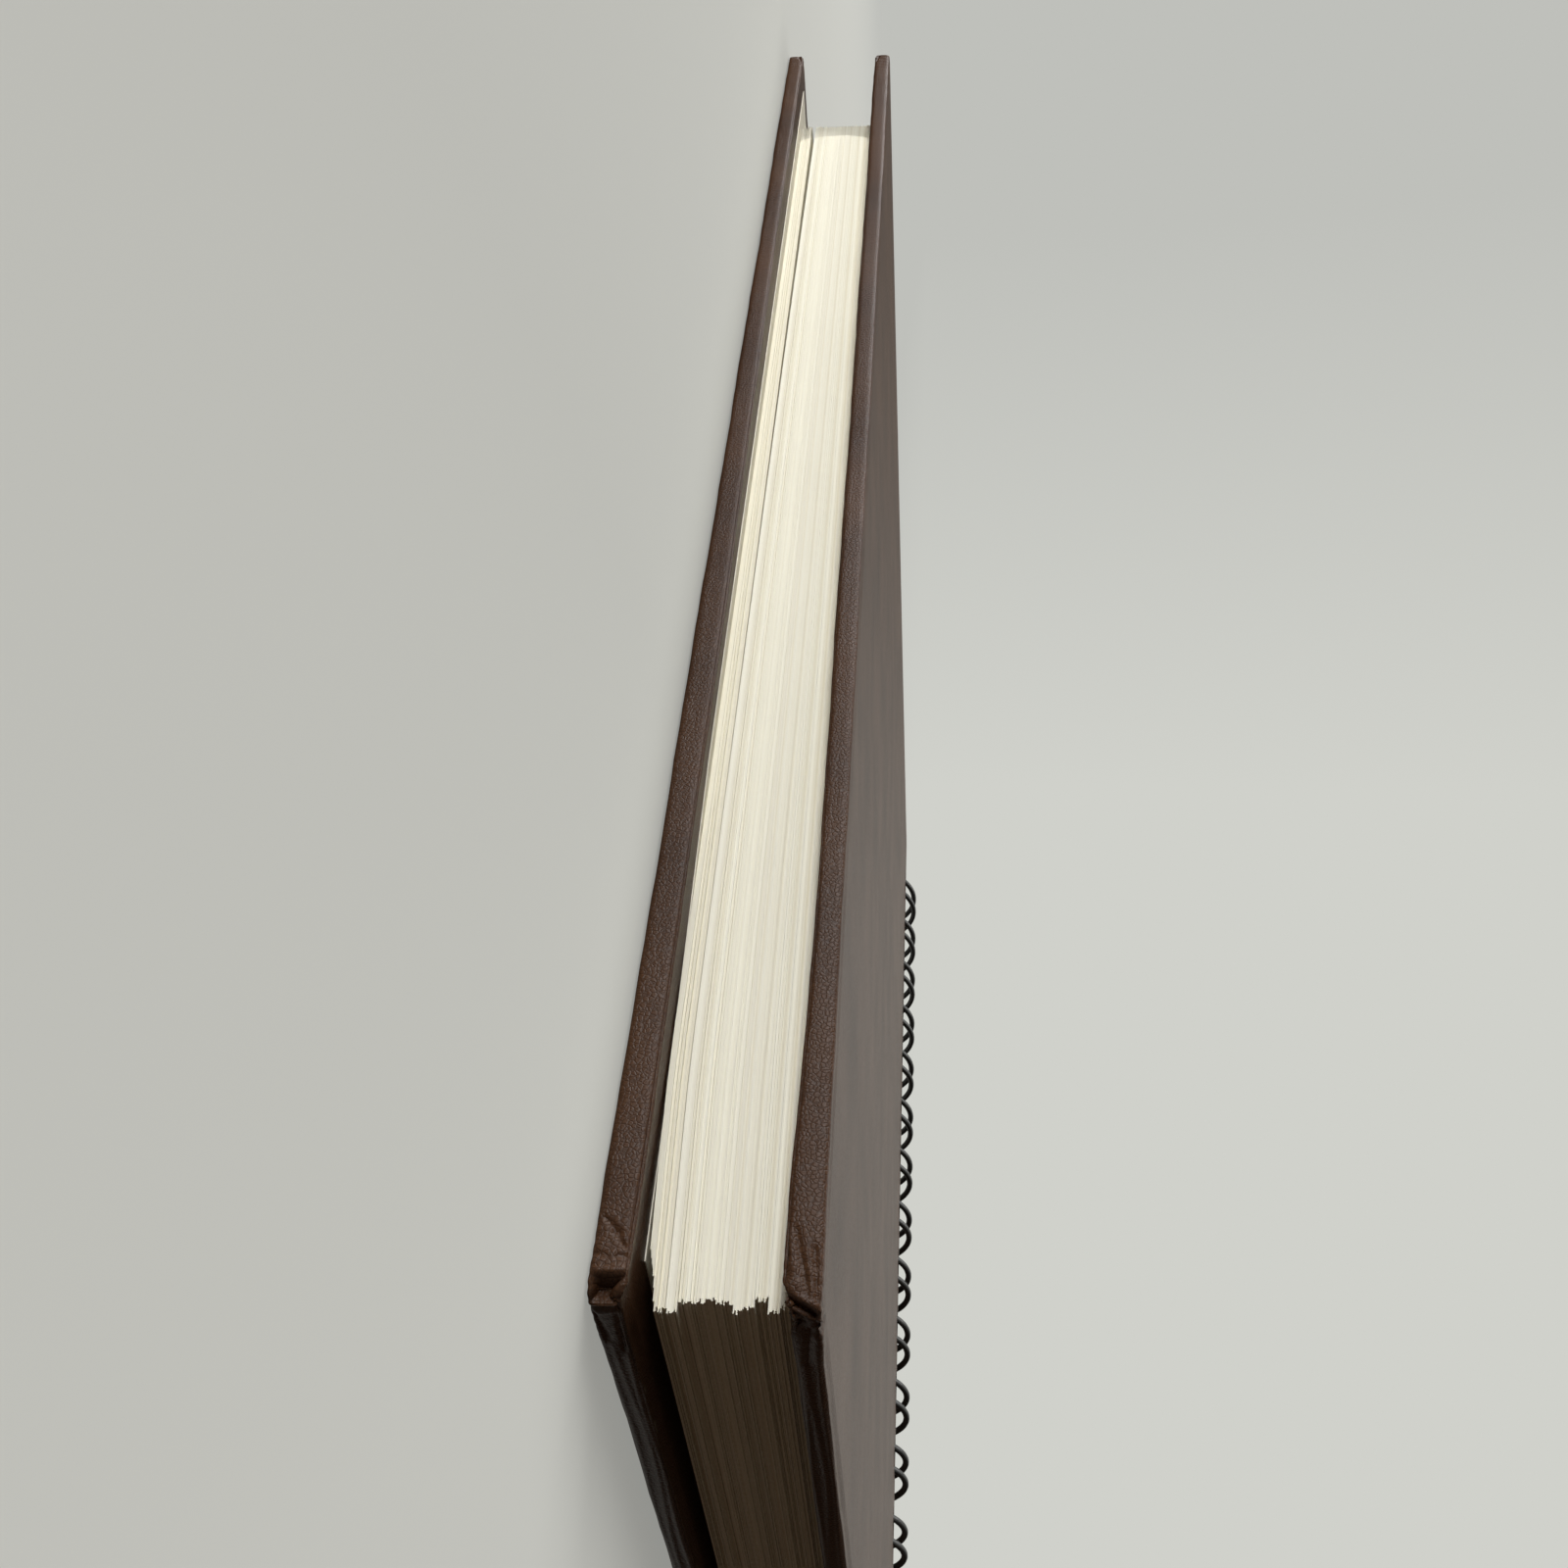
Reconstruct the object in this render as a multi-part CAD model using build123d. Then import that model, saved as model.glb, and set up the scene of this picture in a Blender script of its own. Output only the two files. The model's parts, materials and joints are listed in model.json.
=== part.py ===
from build123d import *
import os
from math import asin, atan2, cos, degrees, floor, hypot, radians, sin, sqrt

# A hardcover journal held by a twin-loop wire, lying on its back cover.
# It is modelled round the wire's axis, which is the hinge of its covers and leaves:
# X runs from the wire to the fore-edge, Y from tail to head, Z out of the front cover.
# The finished journal is then tipped onto its fore-edge and set on the floor.

# Covers, millimetres
cover_width = 196.85
cover_height = 228.6
board_thick = 2.0
skin_thick = 0.3
edge_round = 0.8
corner_round = 1.6
turn_in = 16.0
mitre_gap = 0.3
mitre_stop = 2.2
liner_thick = 0.12
liner_inset = 7.0
liner_spine_inset = 1.4
cover_slip = 0.5

# Leaves
leaf_width = 188.0
block_thick = 11.2
leaf_play = 0.4
head_recess = 1.4
tail_recess = 13.5
tail_strip = 2.0

# Wire and the holes it runs through
wire_dia = 1.2
pitch = 12.7
prong_width = 4.1
ring_proud = 2.5
seam_gap = 0.25
seam_angle = 270.0
hole_inset = 5.0
hole_play = 0.28
hole_side_play = 0.6

# Sizes that follow from the ones above
cover_thick = board_thick + 2 * skin_thick
block_half = block_thick / 2
inner_face = block_half + leaf_play
outer_face = inner_face + cover_thick
wire_rad = wire_dia / 2
ring_rad = outer_face + ring_proud - wire_rad
hole_width = prong_width + wire_dia + 2 * hole_side_play
tip_rad = prong_width / 2
root_rad = (pitch - prong_width) / 2

# The loops are centred on the cover, and the end ones keep a strip of leaf beyond their hole
end_margin = tail_recess + hole_width / 2 + tail_strip
loop_count = floor((cover_height - 2 * end_margin) / pitch) + 1
loop_span = (loop_count - 1) * pitch
loop_ys = [i * pitch - loop_span / 2 for i in range(loop_count)]

# A hole is as long as the slanting stretch of wire inside a cover needs
wire_far_x = sqrt((ring_rad + wire_rad) ** 2 - inner_face**2)
wire_near_x = sqrt((ring_rad - wire_rad) ** 2 - outer_face**2)
hole_length = wire_far_x - wire_near_x + 2 * hole_play
hole_x = (wire_far_x + wire_near_x) / 2
spine_edge = hole_x - hole_inset
fore_edge = spine_edge + cover_width

# Tips and roots of the wire close up until they are seam_gap apart
closing = sqrt((tip_rad + root_rad + wire_dia + seam_gap) ** 2 - (pitch / 2) ** 2)
closing_angle = degrees(closing / ring_rad)
leg_start = seam_angle + closing_angle / 2 - 360
leg_end = seam_angle - closing_angle / 2


# Covers, drawn with the outer face at z = 0 and the spine edge at x = 0


def cover_plate(inset):
    """The cover's outline, drawn in by inset on every side, with its rounded edges."""
    plate = Box(
        cover_width - 2 * inset,
        cover_height - 2 * inset,
        cover_thick - 2 * inset,
    )
    plate = Pos(cover_width / 2, 0, cover_thick / 2) * plate
    plate = fillet(plate.edges().filter_by(Axis.Z), corner_round - inset)
    rims = plate.faces().sort_by(Axis.Z)
    return fillet(rims[0].edges() + rims[-1].edges(), edge_round - inset)


def slab(x_low, x_high, half_height, z_low, z_high):
    """A plain block between two x and two z values, centred on the cover's middle."""
    block = Box(x_high - x_low, 2 * half_height, z_high - z_low)
    return Pos((x_low + x_high) / 2, 0, (z_low + z_high) / 2) * block


def cover_holes(slip):
    """The row of holes punched through board, skin and liner in one stroke."""
    punch = Box(hole_length, hole_width, 4 * cover_thick)
    return [Pos(hole_inset, y - slip, cover_thick / 2) * punch for y in loop_ys]


def mitre_cuts():
    """The open seams where two turn-ins meet on the inner face, one at each corner."""
    seam_end = turn_in + mitre_gap  # just past the window's corner, so the seam opens into it
    run = (seam_end - mitre_stop) * sqrt(2)
    middle = (seam_end + mitre_stop) / 2
    cut = Box(run, mitre_gap, 2 * skin_thick)
    cuts = []
    for x, turn_x in ((middle, 1), (cover_width - middle, -1)):
        for y, turn_y in ((cover_height / 2 - middle, 1), (middle - cover_height / 2, -1)):
            angle = -45 * turn_x * turn_y
            cuts.append(Pos(x, y, cover_thick) * Rot(0, 0, angle) * cut)
    return cuts


def board(slip):
    """Grey board, the stiff core of a cover."""
    return cover_plate(skin_thick) - cover_holes(slip)


def wrap(slip):
    """Leatherette pasted over the board and turned in on all four sides."""
    skin = cover_plate(0) - cover_plate(skin_thick)
    window = slab(
        turn_in,
        cover_width - turn_in,
        cover_height / 2 - turn_in,
        cover_thick - skin_thick,
        cover_thick + skin_thick,
    )
    return skin - window - mitre_cuts() - cover_holes(slip)


def liner(slip):
    """Endpaper pasted over the turn-ins, which drops onto the board inside them."""
    sheet_half = cover_height / 2 - liner_inset
    window_half = cover_height / 2 - turn_in
    board_face = cover_thick - skin_thick
    top = cover_thick + liner_thick
    sheet = slab(liner_spine_inset, cover_width - liner_inset, sheet_half, cover_thick, top)
    well = slab(turn_in, cover_width - turn_in, window_half, board_face, top)
    hollow = slab(
        turn_in + liner_thick,
        cover_width - turn_in - liner_thick,
        window_half - liner_thick,
        board_face + liner_thick,
        top + liner_thick,
    )
    return sheet + well - hollow - cover_holes(slip)


def as_back(piece):
    """Set a cover piece below the leaves."""
    return Pos(spine_edge, -cover_slip, -outer_face) * piece


def as_front(piece):
    """Turn a cover piece over and set it above the leaves."""
    return Pos(spine_edge, cover_slip, outer_face) * mirror(piece, about=Plane.XY)


# Leaves


def leaf_stack(x_from, x_to, half_thick, height):
    """Leaves that each sit as far out as the round wire puts them, so both edges bow."""

    def edge(x):
        bow = ring_rad - sqrt(ring_rad**2 - half_thick**2)
        return (x - bow, -half_thick), (x, 0), (x - bow, half_thick)

    inner, outer = edge(x_from), edge(x_to)
    outline = [
        ThreePointArc(*inner),
        Line(inner[2], outer[2]),
        ThreePointArc(*outer),
        Line(outer[0], inner[0]),
    ]
    section = Plane.XZ * make_face(outline)
    return extrude(section, height / 2, both=True)


def page_block():
    """All the leaves as one block, with a channel for each loop."""
    first_x = ring_rad - hole_inset
    leaf_height = cover_height - head_recess - tail_recess
    block = leaf_stack(first_x, first_x + leaf_width, block_half, leaf_height)
    block = Pos(0, (tail_recess - head_recess) / 2, 0) * block
    half_hole = hole_length / 2
    cut = leaf_stack(ring_rad - half_hole, ring_rad + half_hole, inner_face, hole_width)
    return block - [Pos(0, y, 0) * cut for y in loop_ys]


# Wire


def ring_point(angle, y):
    """A point on the ring's centre line; angle runs from +X towards +Z."""
    return Vector(ring_rad * cos(radians(angle)), y, ring_rad * sin(radians(angle)))


def ring_run(angle):
    """The wire's direction there, as the angle grows."""
    return Vector(-sin(radians(angle)), 0, cos(radians(angle)))


def leg(y):
    """One of a loop's two legs, nearly a full turn round the leaves."""
    start = Plane(ring_point(leg_start, y), z_dir=ring_run(leg_start))
    turn = Axis((0, 0, 0), (0, -1, 0))
    return revolve(start * Circle(wire_rad), turn, leg_end - leg_start)


def bend(angle, y, radius, outward):
    """The half circle that joins two legs, at the seam's tip side (+1) or root side (-1)."""
    run = ring_run(angle) * outward
    start = Plane(ring_point(angle, y - radius), z_dir=run)
    turn = Axis(ring_point(angle, y), run.cross(Vector(0, 1, 0)))
    return revolve(start * Circle(wire_rad), turn, 180)


def binding_wire():
    """One wire: each loop goes round, turns back at its tip, and crosses to the next root."""
    legs = [leg(y + side * tip_rad) for y in loop_ys for side in (-1, 1)]
    tips = [bend(leg_end, y, tip_rad, 1) for y in loop_ys]
    roots = [bend(leg_start, y + pitch / 2, root_rad, -1) for y in loop_ys[:-1]]
    wire = legs[0]
    for piece in legs[1:] + tips + roots:
        wire += piece
    return wire


# The journal, round the wire's axis
pieces = {
    "back_board": as_back(board(-cover_slip)),
    "back_wrap": as_back(wrap(-cover_slip)),
    "back_liner": as_back(liner(-cover_slip)),
    "page_block": page_block(),
    "binding_wire": binding_wire(),
    "front_board": as_front(board(cover_slip)),
    "front_wrap": as_front(wrap(cover_slip)),
    "front_liner": as_front(liner(cover_slip)),
}

# It lies on the wire and on the back cover's fore-edge, so it leans by a small angle
wire_low = -pieces["binding_wire"].bounding_box().min.Z
lean = degrees(asin(wire_low / hypot(fore_edge, outer_face)) - atan2(outer_face, fore_edge))
leaned = {name: Rot(0, lean, 0) * piece for name, piece in pieces.items()}
boxes = [piece.bounding_box() for piece in leaned.values()]
x_shift = -(min(box.min.X for box in boxes) + max(box.max.X for box in boxes)) / 2
y_shift = -(min(box.min.Y for box in boxes) + max(box.max.Y for box in boxes)) / 2
z_shift = -min(box.min.Z for box in boxes)

os.makedirs("parts", exist_ok=True)
for name, piece in leaned.items():
    export_step(Pos(x_shift, y_shift, z_shift) * piece, f"parts/{name}.step")

print("hinge axis at x", round(x_shift, 4), "z", round(z_shift, 4), "lean", round(lean, 4))
print("holes", round(hole_length, 3), "by", round(hole_width, 3), "at", round(hole_x, 3))
print("spine edge", round(spine_edge, 3), "fore-edge", round(fore_edge, 3))
for axis in "XYZ":
    low = min(getattr(box.min, axis) for box in boxes)
    high = max(getattr(box.max, axis) for box in boxes)
    print("overall", axis, round(high - low, 3))
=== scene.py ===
import bpy
import json
import math
import random
import numpy as np
from mathutils import Matrix, Vector
from mathutils.geometry import tessellate_polygon


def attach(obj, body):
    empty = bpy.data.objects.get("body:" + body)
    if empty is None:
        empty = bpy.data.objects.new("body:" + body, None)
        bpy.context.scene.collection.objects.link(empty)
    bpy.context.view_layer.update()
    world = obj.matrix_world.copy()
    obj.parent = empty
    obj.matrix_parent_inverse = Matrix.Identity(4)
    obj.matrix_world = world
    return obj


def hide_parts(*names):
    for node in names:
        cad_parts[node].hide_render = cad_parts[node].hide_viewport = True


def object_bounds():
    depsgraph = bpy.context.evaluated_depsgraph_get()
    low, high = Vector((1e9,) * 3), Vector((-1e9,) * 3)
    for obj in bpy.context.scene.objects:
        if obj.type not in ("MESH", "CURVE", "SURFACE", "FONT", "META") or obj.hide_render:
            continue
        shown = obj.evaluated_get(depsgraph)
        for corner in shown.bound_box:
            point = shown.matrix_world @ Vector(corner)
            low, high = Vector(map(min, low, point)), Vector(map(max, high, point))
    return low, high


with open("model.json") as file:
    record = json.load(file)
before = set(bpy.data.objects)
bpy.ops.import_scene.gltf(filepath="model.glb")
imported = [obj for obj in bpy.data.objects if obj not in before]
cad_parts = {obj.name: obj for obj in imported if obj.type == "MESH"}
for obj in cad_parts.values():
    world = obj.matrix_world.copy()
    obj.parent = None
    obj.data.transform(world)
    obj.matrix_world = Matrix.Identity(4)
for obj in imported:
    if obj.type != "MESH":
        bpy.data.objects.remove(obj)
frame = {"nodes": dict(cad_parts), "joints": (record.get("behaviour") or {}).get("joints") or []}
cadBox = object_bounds()
print("frame loaded:", sorted(frame["nodes"]))

# Every length of the journal is in millimetres round the wire's axis: x runs from the wire to the
# fore-edge, y from tail to head and z out of the front cover. rowFromBook takes that to the row's metres.
journal = {
    "coverWidth": 196.85,
    "coverHeight": 228.6,
    "coverThick": 2.6,
    "innerFace": 6.0,
    "cornerRound": 1.6,
    "coverSlip": 0.5,
    "ringRadius": 10.5,
    "holeX": 7.121,
    "holeLength": 4.995,
    "holeWidth": 6.5,
    "holeInset": 5.0,
    "pitch": 12.7,
    "loopCount": 16,
}
outerFace = journal["innerFace"] + journal["coverThick"]
spineEdge = journal["holeX"] - journal["holeInset"]
foreEdge = spineEdge + journal["coverWidth"]
halfHeight = journal["coverHeight"] / 2
loopSpan = (journal["loopCount"] - 1) * journal["pitch"]
loopYs = [i * journal["pitch"] - loopSpan / 2 for i in range(journal["loopCount"])]

hinge = Vector(frame["joints"][0]["pos_m"])
lean = math.asin(hinge.z * 1000 / math.hypot(foreEdge, outerFace)) - math.atan2(outerFace, foreEdge)
leanTurn = Matrix.Rotation(lean, 4, "Y")
rowFromBook = Matrix.Translation(hinge) @ leanTurn @ Matrix.Scale(0.001, 4)


def toLinear(hexText):
    parts = [int(hexText[i:i + 2], 16) / 255 for i in (1, 3, 5)]
    return [c / 12.92 if c <= 0.04045 else ((c + 0.055) / 1.055) ** 2.4 for c in parts] + [1.0]


def addNode(tree, kind, settings=None, links=None):
    node = tree.nodes.new(kind)
    for name, value in (settings or {}).items():
        if name == "stops":  # a colour ramp's positions and colours
            ramp = node.color_ramp
            while len(ramp.elements) < len(value):
                ramp.elements.new(1.0)
            for element, (place, colour) in zip(ramp.elements, value):
                element.position = place
                element.color = toLinear(colour)
        elif isinstance(name, int) or name in node.inputs:
            node.inputs[name].default_value = value
        else:
            setattr(node, name, value)
    for name, source in (links or {}).items():
        tree.links.new(source, node.inputs[name])
    return node


def addNoise(tree, mm, sizeMm, detail, more=None):
    settings = {"Scale": 1 / sizeMm, "Detail": detail, **(more or {})}
    return addNode(tree, "ShaderNodeTexNoise", settings, {"Vector": mm}).outputs["Fac"]


def addRamp(tree, source, stops):
    return addNode(tree, "ShaderNodeValToRGB", {"stops": stops}, {"Fac": source}).outputs["Color"]


def addShare(tree, source, factor, base):
    # The source times a factor, on top of a base
    settings = {"operation": "MULTIPLY_ADD", 1: factor}
    return addNode(tree, "ShaderNodeMath", settings, {0: source, 2: base}).outputs["Value"]


def addBump(tree, height, reliefMm, strength):
    settings = {"Distance": reliefMm / 1000, "Strength": strength}
    return addNode(tree, "ShaderNodeBump", settings, {"Height": height}).outputs["Normal"]


def newMaterial(name):
    material = bpy.data.materials.new(name)
    material.use_nodes = True
    tree = material.node_tree
    tree.nodes.clear()
    place = addNode(tree, "ShaderNodeTexCoord")
    inMm = addNode(tree, "ShaderNodeVectorMath", {"operation": "SCALE", "Scale": 1000.0},
                   {"Vector": place.outputs["Object"]})
    return material, tree, inMm.outputs["Vector"]


def endMaterial(tree, settings, links):
    skin = addNode(tree, "ShaderNodeBsdfPrincipled", settings, links)
    addNode(tree, "ShaderNodeOutputMaterial", None, {"Surface": skin.outputs["BSDF"]})


# Bookbinder's leatherette, a polyurethane film on cloth, embossed by a roller with a fine calf grain.
# It gives a soft satin brown whose pebbles break up the light, and goes grey where it is seen edge-on.
leatherette = {
    "deepBrown": "#2e1c11",
    "warmBrown": "#4f3522",
    "deepBelow": 0.22,
    "cloudMm": 14.0,
    "pebbleMm": 0.4,
    "pebbleEdge": 0.22,  # how far in a pebble reaches its full height, in pebbles
    "pebbleTone": 0.35,
    "poreMm": 0.2,
    "poreHeight": 0.5,  # against a pebble's
    "creaseMm": 2.6,
    "creaseHeight": 0.8,
    "reliefMm": 0.028,
    "roughness": (0.37, 0.43),
    "specular": 0.22,
}


def makeLeatherette():
    material, tree, mm = newMaterial("polyurethane_leatherette")
    cloud = addNoise(tree, mm, leatherette["cloudMm"], detail=3.0)
    pore = addNoise(tree, mm, leatherette["poreMm"], detail=2.0)
    wrinkle = addNoise(tree, mm, leatherette["creaseMm"], detail=4.0, more={"Distortion": 0.6})
    pebble = addNode(tree, "ShaderNodeTexVoronoi",
                     {"feature": "DISTANCE_TO_EDGE", "Scale": 1 / leatherette["pebbleMm"]}, {"Vector": mm})
    pebbleTop = addNode(tree, "ShaderNodeMapRange", {"From Max": leatherette["pebbleEdge"]},
                        {"Value": pebble.outputs["Distance"]}).outputs["Result"]
    colour = addRamp(tree, addShare(tree, pebbleTop, leatherette["pebbleTone"], cloud),
                     [(leatherette["deepBelow"], leatherette["deepBrown"]), (1.0, leatherette["warmBrown"])])
    smoothest, roughest = leatherette["roughness"]
    gloss = addNode(tree, "ShaderNodeMapRange", {"To Min": roughest, "To Max": smoothest}, {"Value": cloud})
    grain = addShare(tree, pore, leatherette["poreHeight"], pebbleTop)
    relief = addShare(tree, wrinkle, leatherette["creaseHeight"], grain)
    endMaterial(tree, {"IOR": 1.4, "Specular IOR Level": leatherette["specular"]},
                {"Base Color": colour, "Roughness": gloss.outputs["Result"],
                 "Normal": addBump(tree, relief, leatherette["reliefMm"], strength=0.8)})
    return material


# Cream offset paper for the leaves, uncoated: dead matt, warm white, a little yellower on the first leaves.
# The same yellow end also carries painted shade and painted highlights in narrow streaks across the stack.
leafPaper = {
    "white": "#f9f7e9",
    "yellow": "#e0d9c2",
    "fibreMm": 0.5,
    "cloudMm": 22.0,
    "cloudTone": 0.18,
    "reliefMm": 0.01,
}


def makeLeafPaper():
    material, tree, mm = newMaterial("uncoated_leaf_paper")
    # The leaf tint attribute holds each leaf's own tint together with streaks of painted shade and painted
    # highlight
    tintAndPaintedShade = addNode(tree, "ShaderNodeAttribute", {"attribute_name": "leafTint"})
    fibre = addNoise(tree, mm, leafPaper["fibreMm"], detail=5.0)
    cloud = addNoise(tree, mm, leafPaper["cloudMm"], detail=2.0)
    cloudTone = leafPaper["cloudTone"]
    shade = addNode(tree, "ShaderNodeMath",
                    {"operation": "MULTIPLY_ADD", 1: cloudTone, 2: -cloudTone / 2}, {0: cloud})
    share = addNode(tree, "ShaderNodeMath", {"operation": "ADD", "use_clamp": True},
                    {0: tintAndPaintedShade.outputs["Fac"], 1: shade.outputs["Value"]})
    colour = addRamp(tree, share.outputs["Value"], [(0.0, leafPaper["white"]), (1.0, leafPaper["yellow"])])
    normal = addBump(tree, fibre, leafPaper["reliefMm"], strength=0.5)
    endMaterial(tree, {"Roughness": 0.88, "IOR": 1.45, "Specular IOR Level": 0.3},
                {"Base Color": colour, "Normal": normal})
    return material


# Endpaper, a heavier cream cartridge paper pasted down: matt, with faint cockling from the paste.
endpaper = {
    "cream": "#f2eedf",
    "shade": "#e8e2d0",
    "fibreMm": 0.8,
    "fibreHeight": 0.08,  # against the cockling's
    "cockleMm": 18.0,
    "reliefMm": 0.12,
}


def makeEndpaper():
    material, tree, mm = newMaterial("pasted_cartridge_endpaper")
    fibre = addNoise(tree, mm, endpaper["fibreMm"], detail=6.0)
    cockle = addNoise(tree, mm, endpaper["cockleMm"], detail=1.0)
    colour = addRamp(tree, fibre, [(0.3, endpaper["cream"]), (0.75, endpaper["shade"])])
    relief = addShare(tree, fibre, endpaper["fibreHeight"], cockle)
    normal = addBump(tree, relief, endpaper["reliefMm"], strength=0.6)
    endMaterial(tree, {"Roughness": 0.82, "IOR": 1.45, "Specular IOR Level": 0.35},
                {"Base Color": colour, "Normal": normal})
    return material


# Binder's grey board, pressed from waste paper: dull grey-brown with darker and lighter flecks.
greyBoard = {"base": "#8a8378", "fleck": "#6f675b", "fleckMm": 0.7, "reliefMm": 0.05}


def makeGreyBoard():
    material, tree, mm = newMaterial("pressed_grey_board")
    fleck = addNoise(tree, mm, greyBoard["fleckMm"], detail=8.0)
    colour = addRamp(tree, fleck, [(0.4, greyBoard["fleck"]), (0.6, greyBoard["base"])])
    normal = addBump(tree, fleck, greyBoard["reliefMm"], strength=0.7)
    endMaterial(tree, {"Roughness": 0.93, "IOR": 1.45}, {"Base Color": colour, "Normal": normal})
    return material


# Nylon-coated steel wire: a thin black plastic skin, half gloss, faintly pimpled and scuffed by the die.
coatedWire = {"black": "#161615", "scuffed": "#343330", "pimpleMm": 0.3, "scuffMm": 3.0, "reliefMm": 0.012}


def makeCoatedWire():
    material, tree, mm = newMaterial("nylon_coated_wire")
    pimple = addNoise(tree, mm, coatedWire["pimpleMm"], detail=2.0)
    scuff = addNoise(tree, mm, coatedWire["scuffMm"], detail=5.0, more={"Roughness": 0.7})
    colour = addRamp(tree, scuff, [(0.45, coatedWire["black"]), (0.72, coatedWire["scuffed"])])
    gloss = addNode(tree, "ShaderNodeMapRange", {"To Min": 0.28, "To Max": 0.5}, {"Value": scuff})
    endMaterial(tree, {"IOR": 1.53},
                {"Base Color": colour, "Roughness": gloss.outputs["Result"],
                 "Normal": addBump(tree, pimple, coatedWire["reliefMm"], strength=0.6)})
    return material


materials = {
    "leatherette": makeLeatherette(),
    "leaf_paper": makeLeafPaper(),
    "endpaper": makeEndpaper(),
    "grey_board": makeGreyBoard(),
    "coated_wire": makeCoatedWire(),
}
print("materials made:", len(materials))


def addPiece(name, points, faces, slotName, body, node, sharpAngle=35.0):
    spots = np.asarray(points, float)
    turned = spots @ np.array(rowFromBook.to_3x3()).T + np.array(rowFromBook.translation)
    mesh = bpy.data.meshes.new(name)
    mesh.from_pydata(turned.tolist(), [], faces)
    mesh.validate()
    mesh.shade_smooth()
    mesh.set_sharp_from_angle(angle=math.radians(sharpAngle))
    mesh.materials.append(materials[slotName])
    piece = bpy.data.objects.new(name, mesh)
    bpy.context.scene.collection.objects.link(piece)
    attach(piece, body)
    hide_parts(node)
    print("piece", name, "points", len(points), "faces", len(faces))
    return piece


# A cover's pieces are drawn with its outer face at z = 0 and its spine edge at x = 0.
def addCoverPiece(isBack, points, faces, slotName, backNames, frontNames):
    # The names are the piece's own and that of the CAD node it stands for
    points = np.array(points)
    if isBack:
        placed = points + np.array([spineEdge, -journal["coverSlip"], -outerFace])
        return addPiece(backNames[0], placed, faces, slotName, "back_cover", backNames[1])
    placed = points * np.array([1, 1, -1]) + np.array([spineEdge, journal["coverSlip"], outerFace])
    turned = [face[::-1] for face in faces]
    return addPiece(frontNames[0], placed, turned, slotName, "front_cover", frontNames[1])


def coverHoles(isBack):
    slip = -journal["coverSlip"] if isBack else journal["coverSlip"]
    lowX = journal["holeInset"] - journal["holeLength"] / 2
    highX = journal["holeInset"] + journal["holeLength"] / 2
    halfWide = journal["holeWidth"] / 2
    return [(lowX, highX, y - slip - halfWide, y - slip + halfWide) for y in loopYs]


def rectangle(lowX, highX, lowY, highY):
    return [(lowX, lowY), (highX, lowY), (highX, highY), (lowX, highY)]


def smooth(low, high, value):
    t = np.clip((value - low) / (high - low), 0, 1)
    return t * t * (3 - 2 * t)


def fade(low, high, value):
    return 1 - smooth(low, high, value)


def bell(value, middle, wide):
    return np.exp(-((value - middle) / wide) ** 2)


def readAt(profile, place):
    # A value that changes along the journal, given at a few places
    profile = np.array(profile)
    return np.interp(place, profile[:, 0], profile[:, 1])


# A cover's leatherette: the wide faces, and between them the rounded rim with its folds
coverSkin = {
    "thick": 0.24,
    "turnIn": 16.0,
    "rimInset": 1.0,  # where the folds begin to fade
    "fadeInsets": (1.35, 1.75),
    "faceInset": 2.2,  # where the flat faces begin
    "noseDepth": 0.75,
    "noseShape": 0.52,
    "setBack": 0.1,  # so that folds can stand proud and stay inside the real outline
    "finestStep": 0.14,
    "coarsestStep": 2.5,
    "stepGrowth": 1.25,
    "foldReach": 7.0,  # folds stay this near to a corner
    "cornerSteps": 18,
    "rowsRound": 34,
    "innerCornerRound": 0.35,
    "swell": 0.5,  # how much higher the slack turn-in stands
    "backSwellRun": (-170.0, -60.0),
    "frontSwellRun": (-34.0, -6.0),
    "swellEnd": (-1.6, 1.2),
    "swellFrom": (0.1, 1.0),  # across the rim, as a share of the cover's thickness
    "backSeed": 3,
    "frontSeed": 8,
}


def sideSteps(length):
    steps = [0.0]
    step = coverSkin["finestStep"]
    while steps[-1] + step < length / 2:
        steps.append(steps[-1] + step)
        if steps[-1] > coverSkin["foldReach"]:
            step = min(step * coverSkin["stepGrowth"], coverSkin["coarsestStep"])
    return steps + [length / 2] + [length - s for s in reversed(steps)]


def outlineColumns():
    # Each column goes round the cover: the side or corner it is on, its place there, and its length so far
    width, height, roundness = journal["coverWidth"], journal["coverHeight"], journal["cornerRound"]
    columns, along, cornerMiddles = [], 0.0, []
    arc = roundness * math.pi / 2
    cornerSteps = coverSkin["cornerSteps"]
    for side in range(4):
        length = (height if side % 2 == 0 else width) - 2 * roundness
        for step in sideSteps(length):
            columns.append((side, step / length, None, along + step))
        along += length
        cornerMiddles.append(along + arc / 2)
        for i in range(1, cornerSteps):
            columns.append((side, 1.0, i / cornerSteps, along + arc * i / cornerSteps))
        along += arc
    return columns, cornerMiddles, along


def outlineRing(columns, inset):
    # The rounded rectangle drawn in by inset, one point a column
    width, height = journal["coverWidth"], journal["coverHeight"]
    roundness = max(journal["cornerRound"] - inset, coverSkin["innerCornerRound"])
    halfX, halfY = width / 2 - inset - roundness, height / 2 - inset - roundness
    corners = [(halfX, -halfY), (halfX, halfY), (-halfX, halfY), (-halfX, -halfY)]
    points = []
    for side, share, bend, _ in columns:
        a, b = corners[side], corners[(side + 1) % 4]
        turn = math.radians(90 * side)
        if bend is not None:
            turn += bend * math.pi / 2
        x = a[0] + (b[0] - a[0]) * share + roundness * math.cos(turn)
        y = a[1] + (b[1] - a[1]) * share + roundness * math.sin(turn)
        points.append((x + width / 2, y))
    return np.array(points)


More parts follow.
